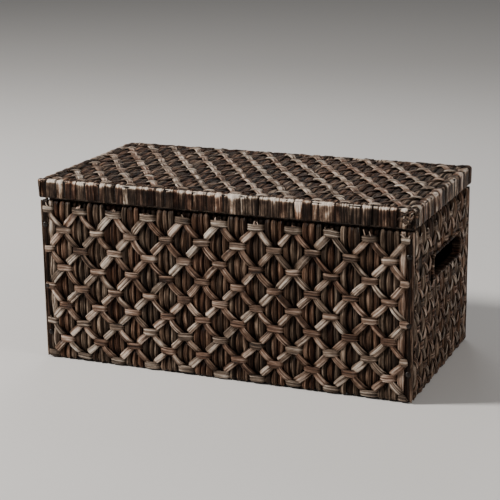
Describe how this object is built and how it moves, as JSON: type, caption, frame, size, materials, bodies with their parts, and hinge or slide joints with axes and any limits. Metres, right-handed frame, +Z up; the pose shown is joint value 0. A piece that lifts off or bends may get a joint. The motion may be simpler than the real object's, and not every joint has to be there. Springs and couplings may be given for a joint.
{
  "type": "woven storage trunk",
  "caption": "Rectangular woven storage trunk with a flat hinged lid, a diamond lattice of strips over upright strands, a wrapped lid rim and a wrapped hand-hole in each end.",
  "frame": {"origin": "middle of the bounding box, at floor level", "axes": "+Z up, -Y out of the front, +X to the right seen from the front, along the trunk's length"},
  "size_m": [0.815, 0.4378, 0.39],
  "materials": {
    "weave": "dried plant strands stained near black and rubbed back to tan and grey on the high spots, low sheen",
    "leaf_wrap": "flat dried leaf strips stained dark brown, worn tan along the edges, low sheen",
    "frame_wood": "planed softwood with a dark brown stain, matt",
    "board": "plywood with a thin brown stain, matt",
    "hinge_steel": "zinc-plated steel, satin",
    "screw_steel": "zinc-plated steel, satin",
    "glide": "black moulded plastic, matt"
  },
  "bodies": {
    "trunk": {"corner_post_front_left": "frame_wood", "corner_post_front_right": "frame_wood", "corner_post_back_left": "frame_wood", "corner_post_back_right": "frame_wood", "rail_front_top": "frame_wood", "rail_front_bottom": "frame_wood", "rail_back_top": "frame_wood", "rail_back_bottom": "frame_wood", "rail_left_top": "frame_wood", "rail_left_bottom": "frame_wood", "rail_right_top": "frame_wood", "rail_right_bottom": "frame_wood", "base_panel": "board", "foot_glide_front_left": "glide", "foot_glide_front_right": "glide", "foot_glide_back_left": "glide", "foot_glide_back_right": "glide", "front_weave": "weave", "back_weave": "weave", "left_weave": "weave", "right_weave": "weave", "hand_hole_wrap_left": "leaf_wrap", "hand_hole_wrap_right": "leaf_wrap", "hinge_body_leaf_left": "hinge_steel", "hinge_body_leaf_right": "hinge_steel", "hinge_pin_left": "hinge_steel", "hinge_pin_right": "hinge_steel", "hinge_body_screw_left_outer": "screw_steel", "hinge_body_screw_left_inner": "screw_steel", "hinge_body_screw_right_outer": "screw_steel", "hinge_body_screw_right_inner": "screw_steel", "stay_guide_screw_left": "screw_steel", "stay_guide_screw_right": "screw_steel"},
    "lid": {"lid_rail_front": "frame_wood", "lid_rail_back": "frame_wood", "lid_rail_left": "frame_wood", "lid_rail_right": "frame_wood", "lid_brace": "frame_wood", "lid_board": "board", "lid_weave": "weave", "lid_rim_front": "leaf_wrap", "lid_rim_back": "leaf_wrap", "lid_rim_left": "leaf_wrap", "lid_rim_right": "leaf_wrap", "hinge_lid_leaf_left": "hinge_steel", "hinge_lid_leaf_right": "hinge_steel", "hinge_lid_screw_left_outer": "screw_steel", "hinge_lid_screw_left_inner": "screw_steel", "hinge_lid_screw_right_outer": "screw_steel", "hinge_lid_screw_right_inner": "screw_steel", "stay_pivot_screw_left": "screw_steel", "stay_pivot_screw_right": "screw_steel"},
    "stay_left": {"stay_arm_left": "hinge_steel"},
    "stay_right": {"stay_arm_right": "hinge_steel"}
  },
  "joints": [
    {"name": "lid_hinge", "type": "hinge", "parent": "trunk", "child": "lid", "pos_m": [0, 0.21565, 0.3481], "axis": [-1, 0, 0], "range_deg": [0, 95]},
    {"name": "stay_turn_left", "type": "hinge", "parent": "lid", "child": "stay_left", "pos_m": [-0.3652, 0.13688, 0.3621], "axis": [1, 0, 0], "range_deg": [0, 47.5]},
    {"name": "stay_turn_right", "type": "hinge", "parent": "lid", "child": "stay_right", "pos_m": [0.3652, 0.13688, 0.3621], "axis": [1, 0, 0], "range_deg": [0, 47.5]}
  ],
  "couplings": [
    {"joint": "stay_turn_left", "follows": "lid_hinge", "ratio": 0.5},
    {"joint": "stay_turn_right", "follows": "lid_hinge", "ratio": 0.5}
  ]
}
